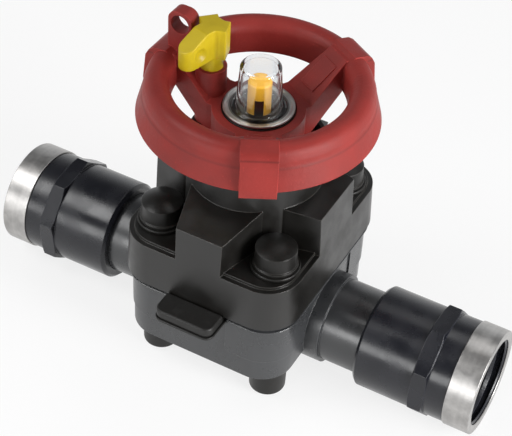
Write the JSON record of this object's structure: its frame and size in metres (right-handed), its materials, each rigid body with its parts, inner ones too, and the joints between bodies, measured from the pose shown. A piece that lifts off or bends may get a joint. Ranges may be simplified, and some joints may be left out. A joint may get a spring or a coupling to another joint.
{
  "type": "diaphragm valve",
  "caption": "Manual weir diaphragm valve with a lockable three-spoke handwheel, rising indicator, bolted bonnet and threaded end adaptors.",
  "frame": {"origin": "centre of the mounting pad's face, below the stem", "axes": "+X along the flow from inlet to outlet, +Z along the stem to the handwheel"},
  "size_m": [0.1994, 0.0943, 0.1342],
  "materials": {
    "body_plastic": "dark grey moulded PVC",
    "bonnet_plastic": "black glass-filled plastic",
    "black_plastic": "black moulded plastic",
    "bearing_plastic": "natural acetal",
    "red_plastic": "satin red",
    "yellow_plastic": "satin yellow",
    "clear_plastic": "clear, polished",
    "rubber": "black elastomer",
    "steel": "bright stainless",
    "brass": "turned"
  },
  "bodies": {
    "root": {"valve_body": "body_plastic", "base_inserts": "brass", "diaphragm": "rubber", "bonnet": "bonnet_plastic", "bonnet_bolts": "steel", "bolt_nuts": "steel", "top_washers": "black_plastic", "bottom_washers": "steel", "top_caps": "black_plastic", "bottom_caps": "black_plastic", "lower_thrust_washer": "bearing_plastic", "upper_thrust_washer": "bearing_plastic", "bearing_nut": "brass", "bush_o_ring": "rubber", "spindle_o_ring": "rubber", "lock_ring": "black_plastic", "inlet_adaptor": "body_plastic", "outlet_adaptor": "body_plastic", "inlet_ring": "steel", "outlet_ring": "steel"},
    "handwheel": {"handwheel": "red_plastic", "threaded_bush": "brass", "hub_nut": "black_plastic", "hub_disc": "steel", "clear_cap": "clear_plastic", "lock_spring": "steel"},
    "spindle": {"spindle": "steel", "position_indicator": "yellow_plastic", "compressor": "bonnet_plastic", "compressor_pin": "steel", "diaphragm_stud": "steel"},
    "lock_key": {"lock_key": "yellow_plastic"},
    "lock_pin": {"lock_pin": "steel"}
  },
  "joints": [
    {"name": "handwheel_turn", "type": "hinge", "parent": "root", "child": "handwheel", "pos_m": [0, 0, 0.1], "axis": [0, 0, 1], "range_deg": [-1170, 0]},
    {"name": "spindle_lift", "type": "slide", "parent": "root", "child": "spindle", "axis": [0, 0, 1], "range_m": [-0.013, 0], "deforming": ["diaphragm"]},
    {"name": "key_turn", "type": "hinge", "parent": "handwheel", "child": "lock_key", "pos_m": [-0.01949, 0.00051, 0.12], "axis": [0, 0, 1], "range_deg": [0, 60]},
    {"name": "lock_pin_slide", "type": "slide", "parent": "handwheel", "child": "lock_pin", "axis": [0, 0, 1], "range_m": [-0.005, 0], "deforming": ["lock_spring"]}
  ],
  "couplings": [
    {"joint": "spindle_lift", "follows": "handwheel_turn", "m_per_rad": 0.00063662},
    {"joint": "lock_pin_slide", "follows": "key_turn", "m_per_rad": -0.0047746}
  ]
}
